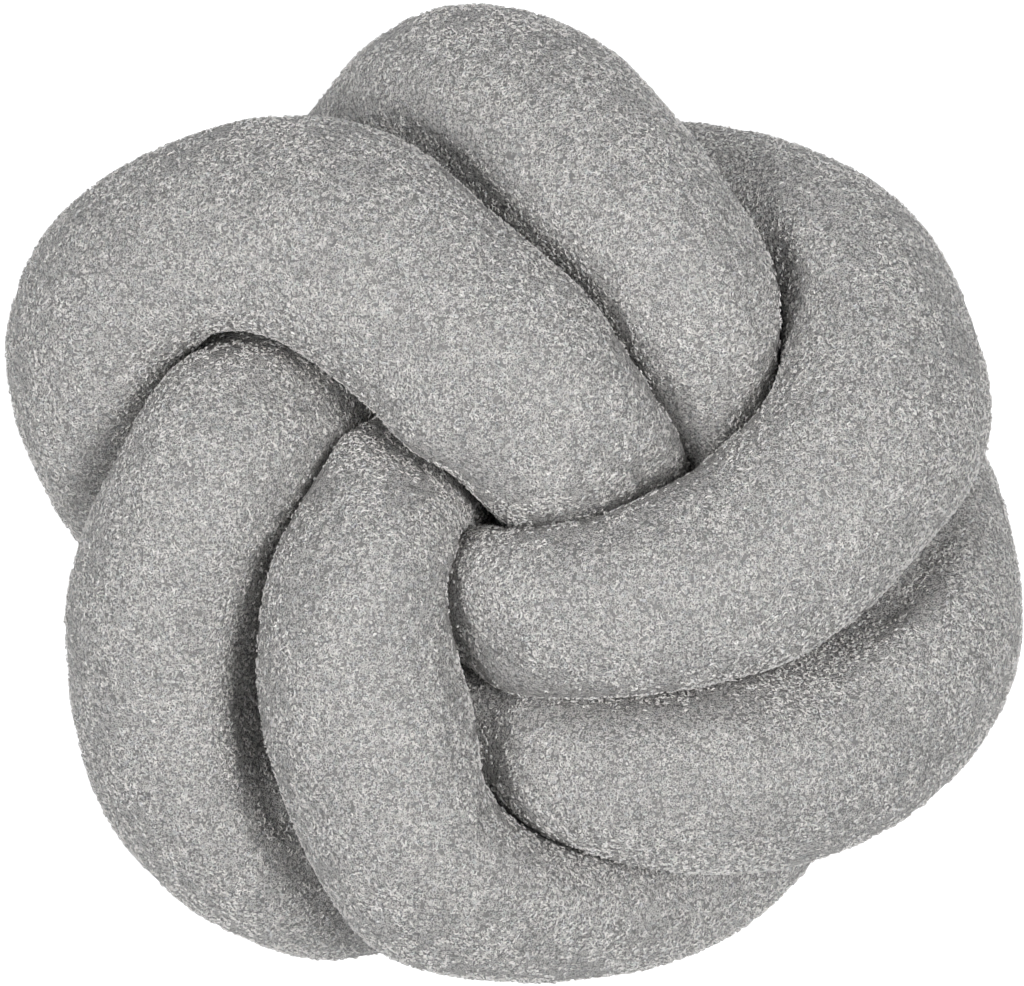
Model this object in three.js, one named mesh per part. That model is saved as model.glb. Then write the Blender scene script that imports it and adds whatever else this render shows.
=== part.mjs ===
// A round knotted throw cushion: one long tube of boucle cloth, stuffed firmly and closed on
// itself, that winds four times about its middle in six laps. Each lap rises near the middle,
// swings out over its neighbours, dives at the rim and comes back in underneath.
// Millimetres, +Z up. The cushion lies on its back on z = 0, with the origin under its middle.

import * as THREE from 'three';
import { mergeVertices } from 'three/addons/utils/BufferGeometryUtils.js';

// The tube.
const TUBE_RADIUS = 43.5;
const SWELL = 1.07;
const STATIONS = 216;
const SIDES = 20;

// How closely its passes lie: the gap between their faces, the spacing that their filling
// pushes them towards, and the height of a run that lies on the floor.
const PASS_GAP = 1.6;
const PASS_SPACING = 71;
const FLOOR_HEIGHT = 37;
const LOOSE_LENGTH = 150;

// One third of the route, seen from above: two laps about the middle of the knot. Bearings are
// in degrees, reach and height in millimetres. A shown row is in sight from above, so it keeps
// its place in plan, and a hidden one gives way to its neighbours.
const THIRDS = 3;
const LAPS = [
  { bearing: 28, reach: 38, height: 102, shown: 0.7 },
  { bearing: 66, reach: 46, height: 128, shown: 1 },
  { bearing: 98, reach: 70, height: 140, shown: 1 },
  { bearing: 116, reach: 103, height: 139, shown: 1 },
  { bearing: 131, reach: 134, height: 128, shown: 1 },
  { bearing: 145, reach: 153, height: 116, shown: 1 },
  { bearing: 159, reach: 156, height: 100, shown: 1 },
  { bearing: 172, reach: 144, height: 78, shown: 1 },
  { bearing: 185, reach: 124, height: 56, shown: 0.8 },
  { bearing: 203, reach: 103, height: 40, shown: 0.3 },
  { bearing: 226, reach: 88, height: 38, shown: 0.1 },
  { bearing: 250, reach: 77, height: 64, shown: 0.3 },
  { bearing: 273, reach: 91, height: 100, shown: 0.9 },
  { bearing: 288, reach: 113, height: 114, shown: 1 },
  { bearing: 305, reach: 131, height: 114, shown: 1 },
  { bearing: 321, reach: 145, height: 104, shown: 1 },
  { bearing: 336, reach: 155, height: 88, shown: 1 },
  { bearing: 350, reach: 147, height: 66, shown: 1 },
  { bearing: 363, reach: 129, height: 50, shown: 0.8 },
  { bearing: 380, reach: 110, height: 40, shown: 0.3 },
  { bearing: 402, reach: 92, height: 38, shown: 0 },
  { bearing: 428, reach: 66, height: 48, shown: 0 },
  { bearing: 458, reach: 46, height: 78, shown: 0.1 },
];

// How unevenly it was tied: the bearings of an even knot's six lobes and of the notches between
// them, the bearing where each really lies, and its reach as a share of the even one.
const LOBE_SPREAD = 17;
const RIM_REACH = 130;
const LOBES = [
  { even: 5, bearing: 5, reach: 1.02 },
  { even: 32, bearing: 31, reach: 1.0 },
  { even: 67, bearing: 68, reach: 0.95 },
  { even: 98, bearing: 97, reach: 1.03 },
  { even: 125, bearing: 114, reach: 0.98 },
  { even: 152, bearing: 151, reach: 1.09 },
  { even: 187, bearing: 180, reach: 0.96 },
  { even: 218, bearing: 223, reach: 0.99 },
  { even: 245, bearing: 251, reach: 1.0 },
  { even: 272, bearing: 280, reach: 0.87 },
  { even: 307, bearing: 311, reach: 0.99 },
  { even: 338, bearing: 338, reach: 1.045 },
];

// How it was tied: places on the even knot as seen from above, and how far to the right and up
// each one really lies. What is between them moves with its neighbours.
const TIE_SPREAD = 38;
const TIES = [
  { bearing: 0, reach: 0, right: -15, up: -7 },
  { bearing: 0, reach: 55, right: 0, up: -7 },
  { bearing: 60, reach: 55, right: 1, up: 2 },
  { bearing: 120, reach: 55, right: -5, up: -11 },
  { bearing: 180, reach: 55, right: 4, up: -16 },
  { bearing: 240, reach: 55, right: -16, up: 3 },
  { bearing: 300, reach: 55, right: -2, up: 8 },
  { bearing: 0, reach: 115, right: -1, up: 2 },
  { bearing: 36, reach: 115, right: -6, up: 2 },
  { bearing: 72, reach: 115, right: -4, up: -2 },
  { bearing: 95, reach: 120, right: -10, up: -12 },
  { bearing: 108, reach: 115, right: -7, up: -6 },
  { bearing: 144, reach: 115, right: -16, up: -10 },
  { bearing: 180, reach: 115, right: 0, up: -9 },
  { bearing: 216, reach: 115, right: 0, up: -3 },
  { bearing: 252, reach: 115, right: 0, up: -1 },
  { bearing: 284, reach: 115, right: -14, up: -7 },
  { bearing: 324, reach: 115, right: 3, up: -6 },
  { bearing: 0, reach: 180, right: 2, up: 3 },
  { bearing: 28, reach: 180, right: -9, up: -2 },
  { bearing: 54, reach: 180, right: -13, up: -4 },
  { bearing: 90, reach: 180, right: -5, up: -2 },
  { bearing: 126, reach: 180, right: -1, up: -7 },
  { bearing: 154, reach: 180, right: -2, up: -4 },
  { bearing: 182, reach: 180, right: 3, up: -15 },
  { bearing: 208, reach: 180, right: 1, up: -8 },
  { bearing: 236, reach: 180, right: 3, up: -9 },
  { bearing: 262, reach: 180, right: -7, up: -2 },
  { bearing: 274, reach: 180, right: 0, up: 6 },
  { bearing: 286, reach: 180, right: 7, up: -3 },
  { bearing: 297, reach: 185, right: 16, up: 2 },
  { bearing: 308, reach: 180, right: 16, up: 12 },
  { bearing: 334, reach: 180, right: 2, up: 6 },
];

// Easing: places on the tied cushion as seen from above, and how far to the right and up the
// passes there are drawn by hand. Each pull dies away around its own place.
const EASE_SPREAD = 26;
const EASES = [
  { bearing: 28, reach: 71, right: -3, up: -1 },
  { bearing: 48, reach: 143, right: -4, up: -2 },
  { bearing: 50, reach: 79, right: -4, up: -3 },
  { bearing: 98, reach: 112, right: -1, up: -1 },
  { bearing: 150, reach: 90, right: -1, up: -2 },
  { bearing: 153, reach: 127, right: 0, up: 5 },
  { bearing: 157, reach: 47, right: -5, up: -6 },
  { bearing: 163, reach: 72, right: 3, up: -2 },
  { bearing: 171, reach: 155, right: 4, up: -2 },
  { bearing: 192, reach: 95, right: -4, up: 1 },
  { bearing: 226, reach: 27, right: -4, up: 2 },
  { bearing: 241, reach: 168, right: 2, up: 2 },
  { bearing: 258, reach: 75, right: 3, up: 6 },
  { bearing: 262, reach: 93, right: -2, up: -1 },
  { bearing: 270, reach: 126, right: -4, up: -4 },
  { bearing: 297, reach: 170, right: 0, up: 2 },
  { bearing: 320, reach: 118, right: -1, up: 5 },
  { bearing: 326, reach: 23, right: 0, up: -4 },
  { bearing: 338, reach: 143, right: -2, up: 2 },
  { bearing: 352, reach: 167, right: -4, up: 3 },
  { bearing: 355, reach: 57, right: 0, up: 4 },
];

// Settling: how many rounds, how hard touching passes push, how far a shown place stays free
// in plan, and how strongly each node is drawn back to where it was laid.
const SETTLING_ROUNDS = 60;
const PUSH = 0.12;
const SHOWN_HOLD = 0.92;
const PLAN_PULL = 0.1;
const SHOWN_PULL = 0.15;
const HEIGHT_PULL = 0.15;
const SMOOTHING = [0.5, -0.52];

// Pressing: how many rings on each side a bend is checked over, how near to the next ring the
// inside of a bend may come, how tightly a pressed side turns into a free one, and how many
// rounds the filling takes to find its level.
const BEND_RINGS = 4;
const BEND_SHARE = 0.85;
const ROUNDING = 7;
const SWELLING_ROUNDS = 4;

// A smooth turn and stretch of the plan, full at the rim and fading to none in the middle.
function uneven(bearing, reach) {
  let turn = 0;
  let stretch = 0;
  let total = 0;
  for (const lobe of LOBES) {
    const off = THREE.MathUtils.euclideanModulo(bearing - lobe.even + 180, 360) - 180;
    const weight = Math.exp(-((off / LOBE_SPREAD) ** 2));
    turn += weight * (lobe.bearing - lobe.even);
    stretch += weight * (lobe.reach - 1);
    total += weight;
  }
  const share = THREE.MathUtils.smoothstep(reach, 0, RIM_REACH);
  return {
    bearing: bearing + share * turn / total,
    reach: reach * (1 + share * stretch / total),
  };
}

// The route as evenly spaced nodes: the laps of one third, repeated at each third of a turn.
function layOut() {
  const points = [];
  for (let third = 0; third < THIRDS; third += 1) {
    for (const row of LAPS) {
      const place = uneven(row.bearing + 360 / THIRDS * third, row.reach);
      const angle = THREE.MathUtils.degToRad(place.bearing);
      points.push(new THREE.Vector3(
        place.reach * Math.cos(angle),
        place.reach * Math.sin(angle),
        row.height,
      ));
    }
  }
  const curve = new THREE.CatmullRomCurve3(points, true, 'centripetal');
  curve.arcLengthDivisions = 3000;
  const nodes = [];
  const shown = [];
  for (let i = 0; i < STATIONS; i += 1) {
    const u = i / STATIONS;
    nodes.push(curve.getPointAt(u));
    const place = curve.getUtoTmapping(u) * points.length;
    const row = LAPS[Math.floor(place) % LAPS.length];
    const next = LAPS[Math.ceil(place) % LAPS.length];
    shown.push(THREE.MathUtils.lerp(row.shown, next.shown, place - Math.floor(place)));
  }
  return { nodes, shown, length: curve.getLength() };
}

// Firm passes push each other apart across their run, mostly up and down where they are in
// sight. The floor holds the lowest ones up, and the cloth keeps the route from kinking.
function settle({ nodes, shown, length }) {
  const start = nodes.map((node) => node.clone());
  const near = Math.ceil(LOOSE_LENGTH * STATIONS / length);
  for (let round = 0; round < SETTLING_ROUNDS; round += 1) {
    const moves = nodes.map(() => new THREE.Vector3());
    for (let i = 0; i < STATIONS; i += 1) {
      for (let j = i + near; j < STATIONS && j - i <= STATIONS - near; j += 1) {
        const apart = new THREE.Vector3().subVectors(nodes[i], nodes[j]);
        const distance = apart.length();
        if (distance < PASS_SPACING) {
          apart.multiplyScalar(PUSH * (PASS_SPACING - distance) / distance);
          moves[i].add(apart);
          moves[j].sub(apart);
        }
      }
    }
    for (let i = 0; i < STATIONS; i += 1) {
      const next = nodes[(i + 1) % STATIONS];
      const last = nodes[(i + STATIONS - 1) % STATIONS];
      const run = new THREE.Vector3().subVectors(next, last).normalize();
      moves[i].addScaledVector(run, -run.dot(moves[i]));
      const free = 1 - SHOWN_HOLD * shown[i];
      const pull = PLAN_PULL + SHOWN_PULL * shown[i];
      nodes[i].x += moves[i].x * free + (start[i].x - nodes[i].x) * pull;
      nodes[i].y += moves[i].y * free + (start[i].y - nodes[i].y) * pull;
      nodes[i].z += moves[i].z + (start[i].z - nodes[i].z) * HEIGHT_PULL;
    }
    for (const step of SMOOTHING) {
      const before = nodes.map((node) => node.clone());
      for (let i = 0; i < STATIONS; i += 1) {
        const middle = before[(i + 1) % STATIONS].clone();
        middle.add(before[(i + STATIONS - 1) % STATIONS]).multiplyScalar(0.5);
        nodes[i].lerp(middle, step);
      }
    }
    for (const node of nodes) {
      node.z = Math.max(node.z, FLOOR_HEIGHT);
    }
  }
  return new THREE.CatmullRomCurve3(nodes, true, 'centripetal');
}

// How far the tube reaches from ring i along a ray: to its own firm radius, or halfway to each
// other pass, or to the rings next to it on the inside of a bend, or to the floor.
function pressedReach(rings, i, ray, near) {
  const ring = rings[i];
  let wall = Infinity;
  rings.forEach((other, j) => {
    const ahead = THREE.MathUtils.euclideanModulo(j - i, STATIONS);
    const steps = Math.min(ahead, STATIONS - ahead);
    const apart = new THREE.Vector3().subVectors(other.node, ring.node);
    if (steps >= near && apart.dot(ray) > 0) {
      wall = Math.min(wall, apart.lengthSq() / (2 * apart.dot(ray)) - PASS_GAP / 2);
    }
    const toward = other.run.dot(ray) * (ahead === steps ? 1 : -1);
    if (steps > 0 && steps <= BEND_RINGS && toward > 0) {
      wall = Math.min(wall, BEND_SHARE * Math.abs(apart.dot(other.run)) / toward);
    }
  });
  const reach = (ring.firm ** -ROUNDING + wall ** -ROUNDING) ** (-1 / ROUNDING);
  return ray.z < 0 ? Math.min(reach, ring.node.z / -ray.z) : reach;
}

// The stuffed tube along the route. Each ring keeps its area of filling where it can, so what
// is pressed in on one side swells out on the others.
function stuffedTube(route) {
  route.arcLengthDivisions = 3000;
  const tube = new THREE.TubeGeometry(route, STATIONS, TUBE_RADIUS, SIDES, true);
  tube.deleteAttribute('normal');
  tube.deleteAttribute('uv');
  const surface = tube.getAttribute('position');
  const near = Math.ceil(LOOSE_LENGTH * STATIONS / route.getLength());
  const rings = [];
  for (let i = 0; i < STATIONS; i += 1) {
    const node = route.getPointAt(i / STATIONS);
    const rays = [];
    for (let side = 0; side < SIDES; side += 1) {
      const vertex = new THREE.Vector3().fromBufferAttribute(surface, i * (SIDES + 1) + side);
      rays.push(vertex.sub(node).normalize());
    }
    rings.push({ node, run: route.getTangentAt(i / STATIONS), rays, firm: TUBE_RADIUS });
  }
  for (let round = 0; round < SWELLING_ROUNDS; round += 1) {
    rings.forEach((ring, i) => {
      ring.reaches = ring.rays.map((ray) => pressedReach(rings, i, ray, near));
      const area = ring.reaches.reduce((sum, reach) => sum + reach * reach, 0) / SIDES;
      ring.wanted = Math.min(ring.firm * TUBE_RADIUS / Math.sqrt(area), TUBE_RADIUS * SWELL);
    });
    rings.forEach((ring, i) => {
      const around = [-3, -2, -1, 0, 1, 2, 3].map((k) => rings[(i + k + STATIONS) % STATIONS].wanted);
      ring.firm = around.reduce((sum, wanted) => sum + wanted) / around.length;
    });
  }
  // The last ring and the last side repeat the first ones, and are merged into them.
  for (let i = 0; i <= STATIONS; i += 1) {
    const ring = rings[i % STATIONS];
    for (let side = 0; side <= SIDES; side += 1) {
      const point = ring.node.clone();
      point.addScaledVector(ring.rays[side % SIDES], ring.reaches[side % SIDES]);
      surface.setXYZ(i * (SIDES + 1) + side, point.x, point.y, point.z < 0.001 ? 0 : point.z);
    }
  }
  return mergeVertices(tube, 0.001);
}

// Moves the tube in plan as it was tied, layer upon layer alike, so passes keep their contact.
function tied(geometry) {
  const surface = geometry.getAttribute('position');
  const ties = TIES.map((tie) => {
    const angle = THREE.MathUtils.degToRad(tie.bearing);
    return { ...tie, x: tie.reach * Math.cos(angle), y: tie.reach * Math.sin(angle) };
  });
  for (let i = 0; i < surface.count; i += 1) {
    let right = 0;
    let up = 0;
    let total = 0;
    for (const tie of ties) {
      const off = Math.hypot(surface.getX(i) - tie.x, surface.getY(i) - tie.y);
      const weight = Math.exp(-((off / TIE_SPREAD) ** 2));
      right += weight * tie.right;
      up += weight * tie.up;
      total += weight;
    }
    surface.setX(i, surface.getX(i) + right / total);
    surface.setY(i, surface.getY(i) + up / total);
  }
  return geometry;
}

// Draws the tied passes to where they were eased by hand, again layer upon layer alike.
function eased(geometry) {
  const surface = geometry.getAttribute('position');
  const pulls = EASES.map((ease) => {
    const angle = THREE.MathUtils.degToRad(ease.bearing);
    return { ...ease, x: ease.reach * Math.cos(angle), y: ease.reach * Math.sin(angle) };
  });
  for (let i = 0; i < surface.count; i += 1) {
    let x = surface.getX(i);
    let y = surface.getY(i);
    for (const pull of pulls) {
      const off = Math.hypot(surface.getX(i) - pull.x, surface.getY(i) - pull.y);
      const weight = Math.exp(-((off / EASE_SPREAD) ** 2));
      x += weight * pull.right;
      y += weight * pull.up;
    }
    surface.setX(i, x);
    surface.setY(i, y);
  }
  return geometry;
}

// The origin lies under the middle of the cushion's box.
function centred(geometry) {
  geometry.computeBoundingBox();
  const middle = geometry.boundingBox.getCenter(new THREE.Vector3());
  return geometry.translate(-middle.x, -middle.y, 0);
}

const cloth = new THREE.MeshStandardMaterial({ color: 0xb3b1af, roughness: 0.95, metalness: 0 });
const knottedTube = new THREE.Mesh(centred(eased(centred(tied(stuffedTube(settle(layOut())))))), cloth);
knottedTube.name = 'knotted_tube';

const cushion = new THREE.Group();
cushion.add(knottedTube);

export default cushion;
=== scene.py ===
"""A knotted throw cushion: one long stuffed tube of boucle cloth, laid as a traditional closed knot."""

import math

import bmesh
import bpy
import numpy as np
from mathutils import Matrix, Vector, noise
from mathutils.bvhtree import BVHTree


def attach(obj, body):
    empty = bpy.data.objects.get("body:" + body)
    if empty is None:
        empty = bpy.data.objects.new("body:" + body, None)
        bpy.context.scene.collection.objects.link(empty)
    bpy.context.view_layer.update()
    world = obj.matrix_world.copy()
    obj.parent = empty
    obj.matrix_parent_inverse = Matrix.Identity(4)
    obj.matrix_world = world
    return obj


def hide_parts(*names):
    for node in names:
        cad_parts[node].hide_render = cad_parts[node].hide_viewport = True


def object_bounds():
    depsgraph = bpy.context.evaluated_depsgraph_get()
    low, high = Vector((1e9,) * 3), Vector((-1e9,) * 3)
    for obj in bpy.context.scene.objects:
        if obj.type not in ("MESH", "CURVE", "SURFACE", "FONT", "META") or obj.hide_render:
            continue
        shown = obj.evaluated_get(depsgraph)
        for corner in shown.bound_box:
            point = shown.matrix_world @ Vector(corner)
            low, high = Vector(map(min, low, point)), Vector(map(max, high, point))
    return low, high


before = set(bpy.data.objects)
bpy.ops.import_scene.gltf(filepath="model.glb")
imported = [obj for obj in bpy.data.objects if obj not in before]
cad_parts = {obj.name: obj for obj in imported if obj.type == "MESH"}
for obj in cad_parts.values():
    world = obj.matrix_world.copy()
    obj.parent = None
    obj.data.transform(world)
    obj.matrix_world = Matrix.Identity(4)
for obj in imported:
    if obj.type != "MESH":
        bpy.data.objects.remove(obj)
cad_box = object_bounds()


# ---------------------------------------------------------------- the stuffed tube
# One tube of boucle cloth about 85 mm across and 3.1 m long, stuffed with polyester fibre. It is
# wound into a knot with two layers at every crossing, and its two ends are joined underneath.
# The passes are pressed against each other, and the cushion is flat only where it lies.

COVER_GROWTH = 0.0008
ROOM_KEPT = 0.00025
REACH_LOOKED = 0.012
FILLING_PRESSURE = 4.0
CLOTH_STIFFNESS = 15
CLOTH_BENDING = 0.5
CLOTH_STEPS = 4
CLOTH_FRAMES = 20
CLOTH_CAP = 0.005


def quads_of(node):
    """A copy of a CAD node's skin with its triangles joined back into the tube's four-sided grid."""
    grid = bmesh.new()
    grid.from_mesh(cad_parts[node].data)
    bmesh.ops.remove_doubles(grid, verts=grid.verts, dist=1e-5)
    bmesh.ops.join_triangles(
        grid,
        faces=grid.faces,
        angle_face_threshold=math.pi,
        angle_shape_threshold=math.pi,
    )
    return grid


def points_of(mesh):
    """The places of a mesh's points, as one array."""
    flat = np.empty(len(mesh.vertices) * 3)
    mesh.vertices.foreach_get("co", flat)
    return flat.reshape(-1, 3)


def normals_of(mesh):
    """The way that the skin faces at each point of a mesh."""
    flat = np.empty(len(mesh.vertices) * 3)
    mesh.vertices.foreach_get("normal", flat)
    return flat.reshape(-1, 3)


def put_points(mesh, points):
    """Moves a mesh's points to new places."""
    mesh.vertices.foreach_set("co", points.ravel())
    mesh.update()


def tree_of(mesh):
    """A mesh made ready for looking along rays."""
    points = [tuple(p) for p in points_of(mesh)]
    faces = [tuple(p.vertices) for p in mesh.polygons]
    return BVHTree.FromPolygons(points, faces)


def room_outside(mesh, points, normals, reach):
    """How far each point can look along its normal before it meets another pass of the tube."""
    tree = tree_of(mesh)
    room = np.full(len(points), reach)
    for i, (p, n) in enumerate(zip(points, normals)):
        start = Vector(p) + Vector(n) * 1e-5
        hit = tree.ray_cast(start, Vector(n), reach)
        if hit[0] is not None:
            room[i] = hit[3]
    return room


def subdivided(obj, levels):
    """The object's mesh after that many smooth subdivisions."""
    finer = obj.modifiers.new("finer", "SUBSURF")
    finer.levels = levels
    finer.render_levels = levels
    bpy.context.view_layer.update()
    shaped = obj.evaluated_get(bpy.context.evaluated_depsgraph_get())
    mesh = bpy.data.meshes.new_from_object(shaped)
    old = obj.data
    obj.modifiers.remove(finer)
    obj.data = mesh
    bpy.data.meshes.remove(old)
    return mesh


grid = quads_of("knotted_tube")
cover_mesh = bpy.data.meshes.new("stuffed_tube")
grid.to_mesh(cover_mesh)
grid.free()
cover = bpy.data.objects.new("stuffed_tube", cover_mesh)
bpy.context.scene.collection.objects.link(cover)


def shifted(mesh, move, cap):
    """Moves each point by its own shift, as far as the next pass and the floor leave room."""
    before = points_of(mesh)
    far = np.maximum(np.linalg.norm(move, axis=1), 1e-9)
    room = room_outside(mesh, before, normals_of(mesh), REACH_LOOKED)
    most = np.clip(room / 2 - ROOM_KEPT, 0, cap)
    after = before + move * np.minimum(1.0, most / far)[:, None]
    after[:, 2] = np.maximum(after[:, 2], 0.0)
    put_points(mesh, after)


def pressure_shift(obj):
    """How far the filling's pressure blows each point of the cover out, by the cloth solver."""
    before = points_of(obj.data)
    puff = obj.modifiers.new("puff", "CLOTH")
    cloth = puff.settings
    cloth.quality = CLOTH_STEPS
    cloth.use_pressure = True
    cloth.uniform_pressure_force = FILLING_PRESSURE
    cloth.effector_weights.gravity = 0
    cloth.tension_stiffness = CLOTH_STIFFNESS
    cloth.compression_stiffness = CLOTH_STIFFNESS
    cloth.bending_stiffness = CLOTH_BENDING
    for frame_now in range(1, CLOTH_FRAMES + 1):
        bpy.context.scene.frame_set(frame_now)
    shaped = obj.evaluated_get(bpy.context.evaluated_depsgraph_get())
    move = points_of(shaped.data) - before
    obj.modifiers.remove(puff)
    bpy.context.scene.frame_set(1)
    return move


mesh = subdivided(cover, 1)
shifted(mesh, normals_of(mesh) * COVER_GROWTH, COVER_GROWTH)
move = pressure_shift(cover)
shifted(mesh, move, CLOTH_CAP)

UNEVEN = [
    # size of the lumps, how far they stand out or in
    (0.060, 0.0016),
    (0.022, 0.0007),
]
LUMPS_PLACE = Vector((3.1, 1.7, 8.3))
LUMPS_CAP = 0.003


def lumps(points):
    """Slight unevenness of the stuffing at each point."""
    out = np.zeros(len(points))
    for size, height in UNEVEN:
        for i, p in enumerate(points):
            out[i] += height * noise.noise(Vector(p) / size + LUMPS_PLACE)
    return out


shifted(mesh, normals_of(mesh) * lumps(points_of(mesh))[:, None], LUMPS_CAP)

TUCKS = [
    # a place on the crease where a lower pass dives under a higher one, the bearing of the higher
    # one from there, how far the tuck reaches along the crease and out from it, and how deep it is
    {"place": (-0.101, -0.088), "bearing": 2, "along": 0.055, "out": 0.026, "depth": 0.011},
    {"place": (-0.083, -0.142), "bearing": 25, "along": 0.032, "out": 0.024, "depth": 0.007},
    {"place": (0.148, -0.040), "bearing": 134, "along": 0.040, "out": 0.026, "depth": 0.010},
    {"place": (0.174, -0.012), "bearing": 147, "along": 0.026, "out": 0.020, "depth": 0.010},
    {"place": (-0.043, 0.137), "bearing": 234, "along": 0.035, "out": 0.022, "depth": 0.010},
    {"place": (0.004, 0.099), "bearing": 230, "along": 0.045, "out": 0.016, "depth": 0.002},
    {"place": (-0.111, 0.062), "bearing": 97, "along": 0.028, "out": 0.018, "depth": 0.005},
    {"place": (0.101, 0.090), "bearing": 200, "along": 0.032, "out": 0.026, "depth": 0.007},
    {"place": (-0.058, 0.028), "bearing": 50, "along": 0.018, "out": 0.018, "depth": 0.003},
    {"place": (-0.031, 0.010), "bearing": 45, "along": 0.018, "out": 0.018, "depth": 0.003},
    {"place": (0.059, 0.011), "bearing": 295, "along": 0.022, "out": 0.018, "depth": 0.005},
    {"place": (0.045, -0.079), "bearing": 93, "along": 0.042, "out": 0.014, "depth": 0.005},
    {"place": (-0.018, -0.058), "bearing": 187, "along": 0.020, "out": 0.016, "depth": 0.004},
]
FILLS = [
    # the same, for places where the stuffing bulges out towards the crease
    {"place": (-0.031, 0.010), "bearing": 225, "along": 0.022, "out": 0.018, "depth": 0.006},
    {"place": (0.075, 0.018), "bearing": 300, "along": 0.020, "out": 0.022, "depth": 0.006},
]
FILL_STEPS = 3
FILL_EXTRA = 1.5
FILL_CAP = 0.006
UNDER_HIGHER_PASS = 0.012


def drawn_in(points, normals, tucks):
    """How far each point of a lower pass is drawn in beside the higher pass that lies on it."""
    move = np.zeros_like(points)
    for tuck in tucks:
        angle = math.radians(tuck["bearing"])
        toward = np.array([math.cos(angle), math.sin(angle)])
        off = points[:, :2] - np.array(tuck["place"])
        along = off @ np.array([-toward[1], toward[0]])
        across = off @ toward
        near = np.exp(-(along / tuck["along"]) ** 2)
        past = np.maximum(across - UNDER_HIGHER_PASS, 0)
        beyond = np.exp(-(past / UNDER_HIGHER_PASS) ** 2)
        dive = np.clip(1 + across / tuck["out"], 0, 1) ** 2 * beyond
        leaning = np.clip(0.6 + 1.5 * (normals[:, :2] @ toward), 0, 1)
        upward = np.clip(0.5 + normals[:, 2], 0, 1)
        move -= normals * (tuck["depth"] * near * dive * leaning * upward)[:, None]
    return move


put_points(mesh, points_of(mesh) + drawn_in(points_of(mesh), normals_of(mesh), TUCKS))
for step in range(FILL_STEPS):
    bulge = -drawn_in(points_of(mesh), normals_of(mesh), FILLS) / FILL_STEPS
    shifted(mesh, bulge * FILL_EXTRA, FILL_CAP)
mesh.polygons.foreach_set("use_smooth", [True] * len(mesh.polygons))


# ---------------------------------------------------------------- the boucle curls
# The cloth's face is a close pile of small curls of thick heathered yarn, 2 to 3 mm across. Each curl
# rises out of the cloth, turns over and goes back in. They crowd together, so little cloth shows.

CURL_SPACING = 0.00204
YARN_RADIUS = 0.00033
CURL_SHAPES = 24
CURL_SETS = 6
CURL_TURN = (190, 280)
CURL_RADIUS = (0.0006, 0.0011)
CURL_RISE = (0.0005, 0.0010)
CURL_LINKS = 3
CURL_LEAN = 16
CURL_GROW = (0.85, 1.2)
CURL_ROOM = 0.0016
ROOM_LOOKED = 0.008
FLOOR_KEPT = 0.0022
CURL_LAYERS = ((0.0, 1.0), (0.37, 1.25))
UNDERSIDE_SHARE = 0.2
rng = np.random.default_rng(11)


def curl_path(turn, radius, rise, links):
    """Points along one curl: it starts and ends below the cloth and is highest in its middle."""
    share = np.linspace(0, 1, links + 1)
    angle = (share - 0.5) * turn
    wide = radius * (1 + 0.18 * np.sin(share * 9 + turn))
    x = wide * np.cos(angle) - radius * 0.35
    y = wide * np.sin(angle)
    z = rise * np.sin(share * math.pi) ** 0.8 - 0.0003
    return np.stack([x, y, z], axis=1)


def curl_shape(path):
    """A three-sided yarn along the path with pointed ends: its corners and its triangles."""
    along = np.gradient(path, axis=0)
    along /= np.linalg.norm(along, axis=1)[:, None]
    side = np.cross(along, np.array([0.0, 0.0, 1.0]))
    side /= np.linalg.norm(side, axis=1)[:, None]
    up = np.cross(side, along)
    corners = [path[0]]
    for k in range(1, len(path) - 1):
        for s in range(3):
            a = math.pi / 2 + s * 2 * math.pi / 3
            corners.append(path[k] + YARN_RADIUS * (math.cos(a) * side[k] + math.sin(a) * up[k]))
    corners.append(path[-1])
    faces = []
    last = len(corners) - 1
    rings = len(path) - 2
    for s in range(3):
        t = (s + 1) % 3
        faces.append((0, 1 + s, 1 + t))
        for k in range(rings - 1):
            a = 1 + 3 * k
            faces.append((a + s, a + 3 + s, a + 3 + t))
            faces.append((a + s, a + 3 + t, a + t))
        a = 1 + 3 * (rings - 1)
        faces.append((a + s, last, a + t))
    return np.array(corners), np.array(faces)


def spread_points(mesh, spacing):
    """Places evenly all over a mesh, one to each square of the spacing, and the way the skin faces."""
    mesh.calc_loop_triangles()
    count = len(mesh.loop_triangles)
    flat = np.empty(count * 3, dtype=np.int32)
    mesh.loop_triangles.foreach_get("vertices", flat)
    corners = flat.reshape(-1, 3)
    points = points_of(mesh)[corners]
    normals = normals_of(mesh)[corners]
    edges = points[:, 1:] - points[:, :1]
    area = np.linalg.norm(np.cross(edges[:, 0], edges[:, 1]), axis=1) / 2
    covered = np.cumsum(area)
    steps = np.arange(int(covered[-1] / spacing ** 2))
    pick = np.searchsorted(covered, (steps + rng.random(len(steps))) * spacing ** 2)
    pick = np.minimum(pick, count - 1)
    share = rng.dirichlet((1, 1, 1), len(pick))[:, :, None]
    at = (points[pick] * share).sum(axis=1)
    facing = (normals[pick] * share).sum(axis=1)
    facing /= np.linalg.norm(facing, axis=1)[:, None]
    return at, facing


def mesh_of(name, points, faces):
    """A mesh straight from arrays of points and triangles."""
    mesh = bpy.data.meshes.new(name)
    mesh.vertices.add(len(points))
    mesh.vertices.foreach_set("co", points.ravel())
    mesh.loops.add(len(faces) * 3)
    mesh.loops.foreach_set("vertex_index", faces.ravel())
    mesh.polygons.add(len(faces))
    mesh.polygons.foreach_set("loop_start", np.arange(0, len(faces) * 3, 3))
    mesh.polygons.foreach_set("use_smooth", np.ones(len(faces), dtype=bool))
    mesh.update(calc_edges=True)
    mesh.validate()
    return mesh


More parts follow.
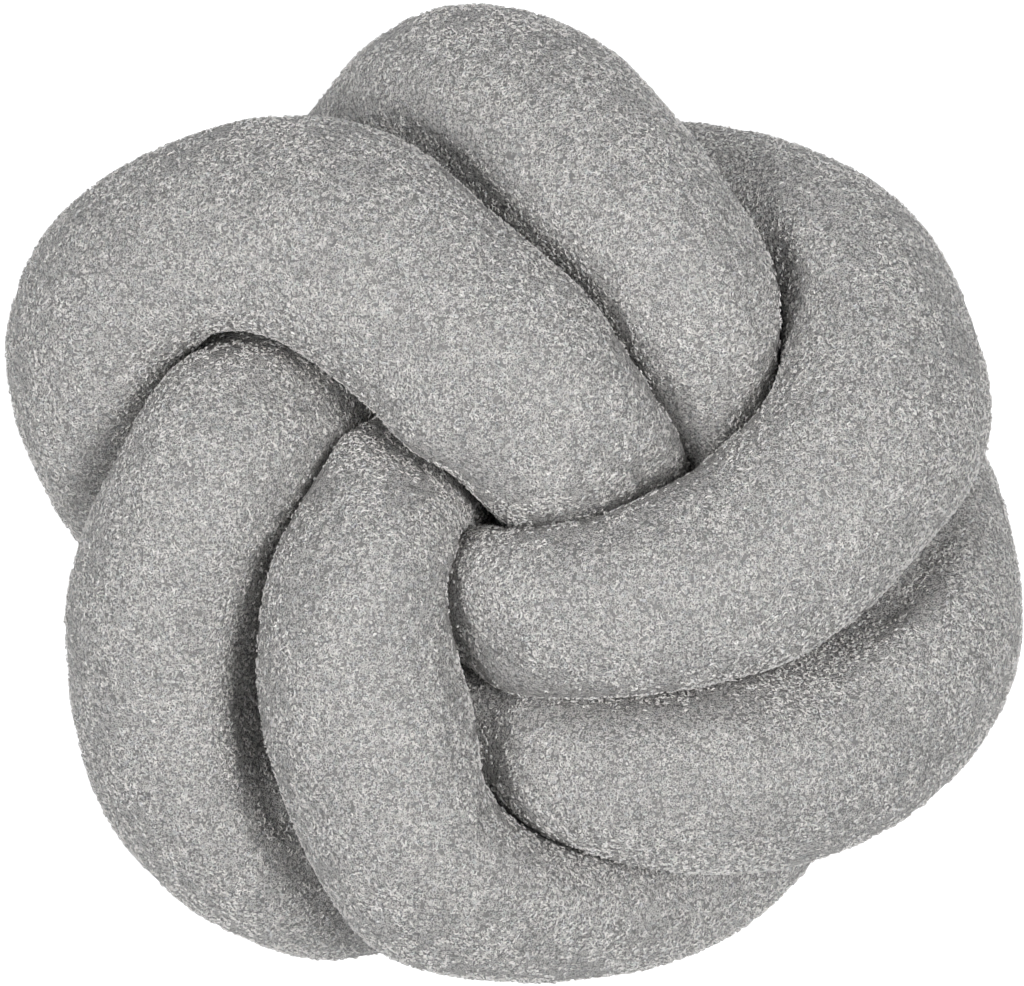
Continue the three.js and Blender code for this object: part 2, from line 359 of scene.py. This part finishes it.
at, facing = spread_points(mesh, CURL_SPACING)
room = room_outside(mesh, at, facing, ROOM_LOOKED)
off_the_floor = (at[:, 2] > FLOOR_KEPT) | (facing[:, 2] > -0.2)
open_air = (room > CURL_ROOM) & off_the_floor
underneath = np.clip((-facing[:, 2] - 0.25) / 0.5, 0, 1)
open_air &= rng.random(len(at)) < 1 - (1 - UNDERSIDE_SHARE) * underneath
at = at[open_air]
facing = facing[open_air]

shapes = []
for k in range(CURL_SHAPES):
    turn = math.radians(rng.uniform(*CURL_TURN))
    path = curl_path(turn, rng.uniform(*CURL_RADIUS), rng.uniform(*CURL_RISE), CURL_LINKS)
    shapes.append(curl_shape(path))

count = len(at)
which = rng.integers(0, CURL_SHAPES, count)
spin = rng.uniform(0, 2 * math.pi, count)
lean = np.radians(rng.normal(0, CURL_LEAN, count))
grow = rng.uniform(*CURL_GROW, count)
helper = np.where(np.abs(facing[:, 2:3]) < 0.9, [[0.0, 0.0, 1.0]], [[1.0, 0.0, 0.0]])
right = np.cross(helper, facing)
right /= np.linalg.norm(right, axis=1)[:, None]
front = np.cross(facing, right)
x_way = right * np.cos(spin)[:, None] + front * np.sin(spin)[:, None]
y_way = np.cross(facing, x_way)
x_lean = x_way * np.cos(lean)[:, None] - facing * np.sin(lean)[:, None]
z_lean = facing * np.cos(lean)[:, None] + x_way * np.sin(lean)[:, None]
turned = np.stack([x_lean, y_way, z_lean], axis=2) * grow[:, None, None]
bearing = (np.arctan2(at[:, 1], at[:, 0]) + math.pi) / (2 * math.pi)
sector = np.minimum((bearing * CURL_SETS).astype(int), CURL_SETS - 1)

curls = []
for s in range(CURL_SETS):
    parts = []
    faces = []
    start = 0
    for k, (corners, triangles) in enumerate(shapes):
        mine = (sector == s) & (which == k)
        how_many = int(mine.sum())
        if how_many == 0:
            continue
        placed = np.einsum("nij,mj->nmi", turned[mine], corners) + at[mine][:, None, :]
        placed = placed.reshape(-1, 3)
        step = len(corners)
        own = triangles[None, :, :] + (start + step * np.arange(how_many))[:, None, None]
        parts.append(placed)
        faces.append(own.reshape(-1, 3))
        start += how_many * step
    points = np.concatenate(parts)
    points[:, 2] = np.maximum(points[:, 2], 0.0001)
    name = "boucle_curls_%d" % (s + 1)
    made = bpy.data.objects.new(name, mesh_of(name, points, np.concatenate(faces)))
    bpy.context.scene.collection.objects.link(made)
    curls.append(made)


def joined(links, *pairs):
    """Links each pair of sockets."""
    for source, target in pairs:
        links.new(source, target)


def heather_group():
    """Colour of heathered yarn: pale and mid grey strands, with a few faint tints among them."""
    group = bpy.data.node_groups.new("heathered_yarn", "ShaderNodeTree")
    group.interface.new_socket("Place", in_out="INPUT", socket_type="NodeSocketVector")
    group.interface.new_socket("Strand Scale", in_out="INPUT", socket_type="NodeSocketFloat")
    group.interface.new_socket("Color", in_out="OUTPUT", socket_type="NodeSocketColor")
    nodes = group.nodes
    given = nodes.new("NodeGroupInput")
    result = nodes.new("NodeGroupOutput")
    strands = nodes.new("ShaderNodeTexVoronoi")
    parts = nodes.new("ShaderNodeSeparateColor")
    greys = nodes.new("ShaderNodeValToRGB")
    ramp = greys.color_ramp
    ramp.elements[0].position = 0.0
    ramp.elements[0].color = (0.74, 0.73, 0.727, 1)
    ramp.elements[1].position = 1.0
    ramp.elements[1].color = (0.99, 0.957, 0.93, 1)
    for position, grey in ((0.3, (0.86, 0.836, 0.812)), (0.7, (0.93, 0.901, 0.876))):
        stop = ramp.elements.new(position)
        stop.color = (*grey, 1)
    tint = nodes.new("ShaderNodeHueSaturation")
    tint.inputs["Saturation"].default_value = 0.22
    tint.inputs["Value"].default_value = 1.0
    mixed = nodes.new("ShaderNodeMix")
    mixed.data_type = "RGBA"
    mixed.blend_type = "SOFT_LIGHT"
    mixed.inputs["Factor"].default_value = 0.35
    joined(
        group.links,
        (given.outputs["Place"], strands.inputs["Vector"]),
        (given.outputs["Strand Scale"], strands.inputs["Scale"]),
        (strands.outputs["Color"], parts.inputs["Color"]),
        (parts.outputs["Red"], greys.inputs["Fac"]),
        (strands.outputs["Color"], tint.inputs["Color"]),
        (greys.outputs["Color"], mixed.inputs[6]),
        (tint.outputs["Color"], mixed.inputs[7]),
        (mixed.outputs[2], result.inputs["Color"]),
    )
    return group


def curl_relief_group():
    """Height of the low curls between the tall ones: round ridges of yarn, each of its own size."""
    group = bpy.data.node_groups.new("low_curls", "ShaderNodeTree")
    group.interface.new_socket("Place", in_out="INPUT", socket_type="NodeSocketVector")
    group.interface.new_socket("Curls per Metre", in_out="INPUT", socket_type="NodeSocketFloat")
    group.interface.new_socket("Height", in_out="OUTPUT", socket_type="NodeSocketFloat")
    nodes = group.nodes
    given = nodes.new("NodeGroupInput")
    result = nodes.new("NodeGroupOutput")
    wander = nodes.new("ShaderNodeTexNoise")
    wander.inputs["Scale"].default_value = 900
    wander.inputs["Detail"].default_value = 0
    sway = nodes.new("ShaderNodeVectorMath")
    sway.operation = "MULTIPLY_ADD"
    sway.inputs[1].default_value = (0.0006, 0.0006, 0.0006)
    joined(
        group.links,
        (given.outputs["Place"], wander.inputs["Vector"]),
        (wander.outputs["Color"], sway.inputs[0]),
        (given.outputs["Place"], sway.inputs[2]),
    )
    highest = None
    for shift, finer in CURL_LAYERS:
        offset = nodes.new("ShaderNodeVectorMath")
        offset.operation = "ADD"
        offset.inputs[1].default_value = (shift, shift * 2, shift * 3)
        scale = nodes.new("ShaderNodeMath")
        scale.operation = "MULTIPLY"
        scale.inputs[1].default_value = finer
        cells = nodes.new("ShaderNodeTexVoronoi")
        chance = nodes.new("ShaderNodeSeparateColor")
        radius = nodes.new("ShaderNodeMath")
        radius.operation = "MULTIPLY_ADD"
        radius.inputs[1].default_value = 0.30
        radius.inputs[2].default_value = 0.25
        off = nodes.new("ShaderNodeMath")
        off.operation = "SUBTRACT"
        away = nodes.new("ShaderNodeMath")
        away.operation = "ABSOLUTE"
        ridge = nodes.new("ShaderNodeMapRange")
        ridge.interpolation_type = "SMOOTHSTEP"
        ridge.inputs["From Min"].default_value = 0.0
        ridge.inputs["From Max"].default_value = 0.17
        ridge.inputs["To Min"].default_value = 1.0
        ridge.inputs["To Max"].default_value = 0.0
        tall = nodes.new("ShaderNodeMath")
        tall.operation = "MULTIPLY_ADD"
        tall.inputs[1].default_value = 0.40
        tall.inputs[2].default_value = 0.60
        height = nodes.new("ShaderNodeMath")
        height.operation = "MULTIPLY"
        joined(
            group.links,
            (sway.outputs["Vector"], offset.inputs[0]),
            (given.outputs["Curls per Metre"], scale.inputs[0]),
            (offset.outputs["Vector"], cells.inputs["Vector"]),
            (scale.outputs[0], cells.inputs["Scale"]),
            (cells.outputs["Color"], chance.inputs["Color"]),
            (chance.outputs["Red"], radius.inputs[0]),
            (cells.outputs["Distance"], off.inputs[0]),
            (radius.outputs[0], off.inputs[1]),
            (off.outputs[0], away.inputs[0]),
            (away.outputs[0], ridge.inputs["Value"]),
            (chance.outputs["Green"], tall.inputs[0]),
            (ridge.outputs["Result"], height.inputs[0]),
            (tall.outputs[0], height.inputs[1]),
        )
        if highest is None:
            highest = height
            continue
        top = nodes.new("ShaderNodeMath")
        top.operation = "MAXIMUM"
        joined(
            group.links,
            (highest.outputs[0], top.inputs[0]),
            (height.outputs[0], top.inputs[1]),
        )
        highest = top
    group.links.new(highest.outputs[0], result.inputs["Height"])
    return group


def yarn_material(name):
    """Plain boucle yarn in the heathered colour, with the slight shine of its fibres."""
    material = bpy.data.materials.new(name)
    material.use_nodes = True
    nodes = material.node_tree.nodes
    shader = nodes["Principled BSDF"]
    shader.inputs["Roughness"].default_value = 0.34
    shader.inputs["Specular IOR Level"].default_value = 0.6
    where = nodes.new("ShaderNodeTexCoord")
    colour = nodes.new("ShaderNodeGroup")
    colour.name = "heather"
    colour.node_tree = heather
    colour.inputs["Strand Scale"].default_value = 700
    joined(
        material.node_tree.links,
        (where.outputs["Object"], colour.inputs["Place"]),
        (colour.outputs["Color"], shader.inputs["Base Color"]),
    )
    return material


def ground_material(name):
    """The same yarn in low curls: their relief as bump, and shade painted into the colour down between
    them.
    """
    material = yarn_material(name)
    nodes = material.node_tree.nodes
    nodes["Principled BSDF"].inputs["Roughness"].default_value = 0.65
    where = nodes.new("ShaderNodeTexCoord")
    relief = nodes.new("ShaderNodeGroup")
    relief.node_tree = low_curls
    relief.inputs["Curls per Metre"].default_value = 600
    # Painted shade: the yarn colour is darkened to about a quarter where the low curls' height falls
    # away, in the gaps between them.
    painted_shade = nodes.new("ShaderNodeMapRange")
    painted_shade.inputs["To Min"].default_value = 0.24
    colour_in_painted_shade = nodes.new("ShaderNodeVectorMath")
    colour_in_painted_shade.operation = "SCALE"
    bump = nodes.new("ShaderNodeBump")
    bump.inputs["Distance"].default_value = 0.0004
    joined(
        material.node_tree.links,
        (where.outputs["Object"], relief.inputs["Place"]),
        (relief.outputs["Height"], painted_shade.inputs["Value"]),
        (nodes["heather"].outputs["Color"], colour_in_painted_shade.inputs[0]),
        (painted_shade.outputs["Result"], colour_in_painted_shade.inputs["Scale"]),
        (colour_in_painted_shade.outputs["Vector"], nodes["Principled BSDF"].inputs["Base Color"]),
        (relief.outputs["Height"], bump.inputs["Height"]),
        (bump.outputs["Normal"], nodes["Principled BSDF"].inputs["Normal"]),
    )
    return material


heather = heather_group()
low_curls = curl_relief_group()
ground = ground_material("boucle_ground")
tall_yarn = yarn_material("boucle_curls")
for piece in [cover] + curls:
    piece.data.materials.clear()
    piece.data.materials.append(ground if piece is cover else tall_yarn)
    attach(piece, "root")
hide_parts("knotted_tube")


# ---------------------------------------------------------------- floor, light and camera
# The cushion lies on its back on a white surface, under broad soft light from in front of its face.

floor_mesh = bpy.data.meshes.new("floor")
sheet = bmesh.new()
bmesh.ops.create_grid(sheet, x_segments=1, y_segments=1, size=6)
sheet.to_mesh(floor_mesh)
sheet.free()
floor = bpy.data.objects.new("floor", floor_mesh)
bpy.context.scene.collection.objects.link(floor)

paper = bpy.data.materials.new("white_floor")
paper.use_nodes = True
nodes = paper.node_tree.nodes
links = paper.node_tree.links
shader = nodes["Principled BSDF"]
shader.inputs["Base Color"].default_value = (0.8, 0.8, 0.8, 1)
shader.inputs["Roughness"].default_value = 1.0
shader.inputs["Specular IOR Level"].default_value = 0.0
ray = nodes.new("ShaderNodeLightPath")
seen = nodes.new("ShaderNodeMath")
seen.operation = "MAXIMUM"
links.new(ray.outputs["Is Camera Ray"], seen.inputs[0])
links.new(ray.outputs["Is Glossy Ray"], seen.inputs[1])
seen_too = nodes.new("ShaderNodeMath")
seen_too.operation = "MAXIMUM"
links.new(seen.outputs[0], seen_too.inputs[0])
links.new(ray.outputs["Is Transmission Ray"], seen_too.inputs[1])
lift = nodes.new("ShaderNodeMath")
lift.operation = "MULTIPLY"
lift.inputs[1].default_value = 0.7
links.new(seen_too.outputs[0], lift.inputs[0])
shader.inputs["Emission Color"].default_value = (1, 1, 1, 1)
links.new(lift.outputs[0], shader.inputs["Emission Strength"])
floor_mesh.materials.append(paper)

world = bpy.data.worlds.new("studio")
world.use_nodes = True
bpy.context.scene.world = world
sky = world.node_tree.nodes["Background"]
sky.inputs["Color"].default_value = (0.93, 0.96, 1.0, 1)
sky.inputs["Strength"].default_value = 0.14

LAMP_SIZE = 1.2
LAMP_SPREAD = math.radians(36)
low, high = cad_box
centre = Vector([(low[i] + high[i]) / 2 for i in range(3)])


def soft_lamp(name, place, size, power):
    """A square soft lamp that faces the cushion."""
    lamp = bpy.data.lights.new(name, "AREA")
    lamp.shape = "SQUARE"
    lamp.size = size
    lamp.energy = power
    lamp.spread = LAMP_SPREAD
    holder = bpy.data.objects.new(name, lamp)
    holder.location = place
    holder.rotation_euler = (centre - Vector(place)).to_track_quat("-Z", "Y").to_euler()
    bpy.context.scene.collection.objects.link(holder)


soft_lamp("left_lamp", (-1.40, -0.20, 2.04), LAMP_SIZE, 2.45)
soft_lamp("right_lamp", (1.05, -0.05, 2.26), LAMP_SIZE, 3.2)
soft_lamp("low_lamp", (0.20, -1.75, 1.75), LAMP_SIZE, 0.38)

CAMERA_AWAY = 4.0
MM_ACROSS = 0.4016
camera_data = bpy.data.cameras.new("camera")
camera = bpy.data.objects.new("camera", camera_data)
camera.location = (-0.0011, -0.0013, CAMERA_AWAY)
camera.rotation_euler = (0, 0, 0)
camera_data.sensor_width = 36
camera_data.lens = 36 * (CAMERA_AWAY - 0.1) / MM_ACROSS
camera_data.clip_end = 50
bpy.context.scene.collection.objects.link(camera)
bpy.context.scene.camera = camera
bpy.context.scene.view_settings.view_transform = "Standard"
